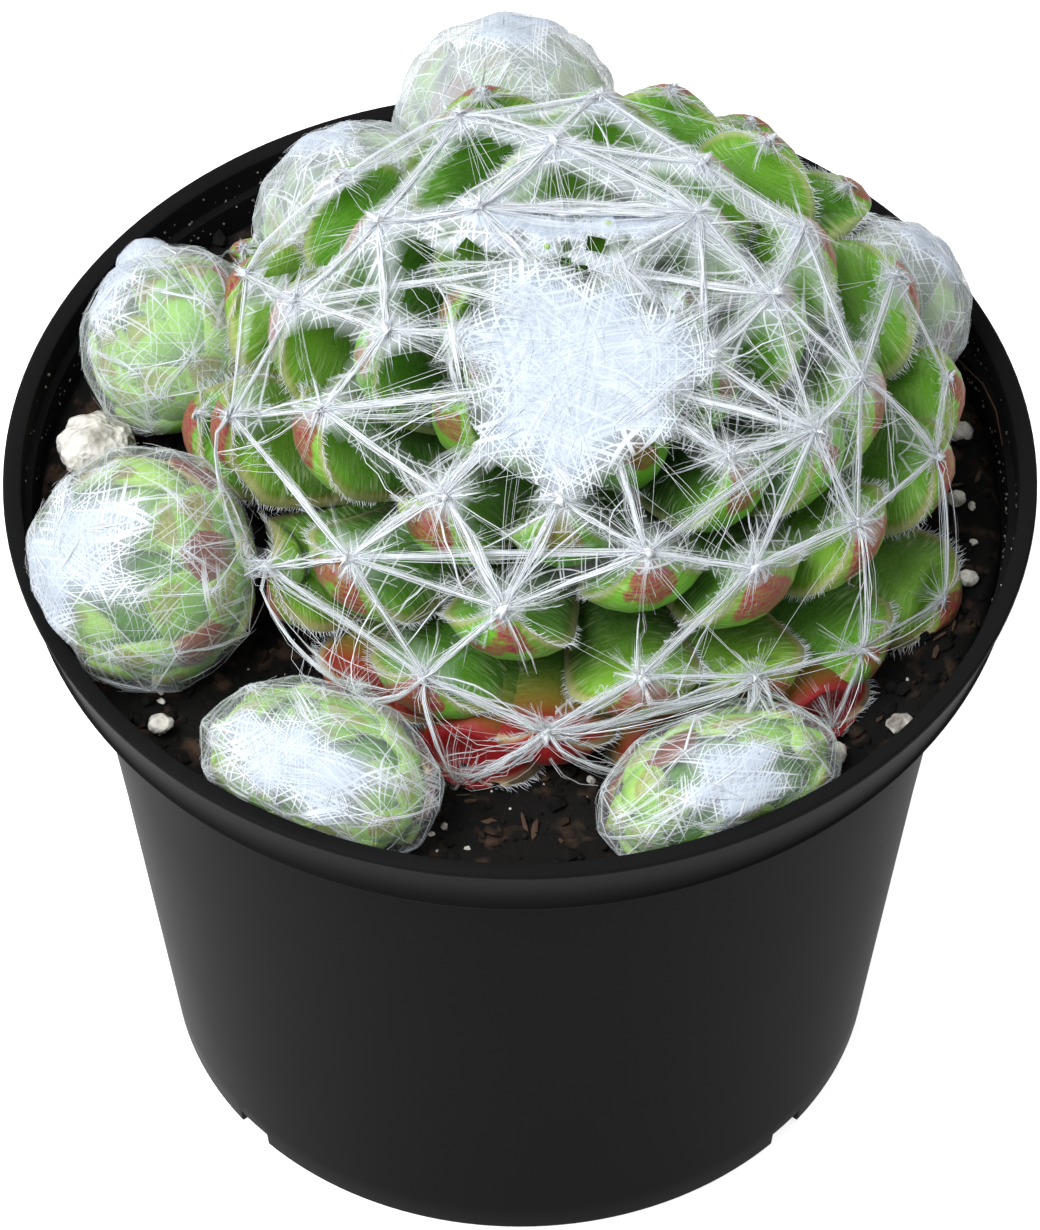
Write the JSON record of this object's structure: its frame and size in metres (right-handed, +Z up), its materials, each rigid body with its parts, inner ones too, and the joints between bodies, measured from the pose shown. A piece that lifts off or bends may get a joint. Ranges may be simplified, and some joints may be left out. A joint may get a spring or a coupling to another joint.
{
  "type": "hens and chicks",
  "caption": "Cobweb houseleek in a round nursery pot: a domed mother rosette of fleshy pointed leaves under a white cobweb of threads, ringed by smaller ball-shaped offset rosettes.",
  "frame": {"origin": "centre of the pot's foot, on the surface it stands on", "axes": "+Z up along the pot's axis, -Y towards the front, where the mother rosette leans, +X to the right seen from the front"},
  "size_m": [0.09, 0.09, 0.0934],
  "materials": {
    "pot": "satin charcoal-black polypropylene",
    "soil": "moist dark peat and bark potting mix, rough",
    "leaves_mother": "living succulent leaf, satin green with red tips, finely downy",
    "leaves_offset": "living young succulent leaf, pale green, downy",
    "web": "fine white plant hairs, felted and in bundles of threads",
    "perlite": "matte white expanded mineral grain"
  },
  "bodies": {
    "root": {"pot": "pot", "soil": "soil", "rosette_mother": "leaves_mother", "web_mother": "web", "rosette_back": "leaves_offset", "web_back": "web", "rosette_back_left": "leaves_offset", "web_back_left": "web", "rosette_upper_left": "leaves_offset", "web_upper_left": "web", "rosette_left": "leaves_offset", "web_left": "web", "rosette_front_left": "leaves_offset", "web_front_left": "web", "rosette_front_right": "leaves_offset", "web_front_right": "web", "rosette_right": "leaves_offset", "web_right": "web", "rosette_bud": "leaves_offset", "web_bud": "web", "perlite_1": "perlite", "perlite_2": "perlite", "perlite_3": "perlite", "perlite_4": "perlite", "perlite_5": "perlite", "perlite_6": "perlite", "perlite_7": "perlite"}
  },
  "joints": []
}
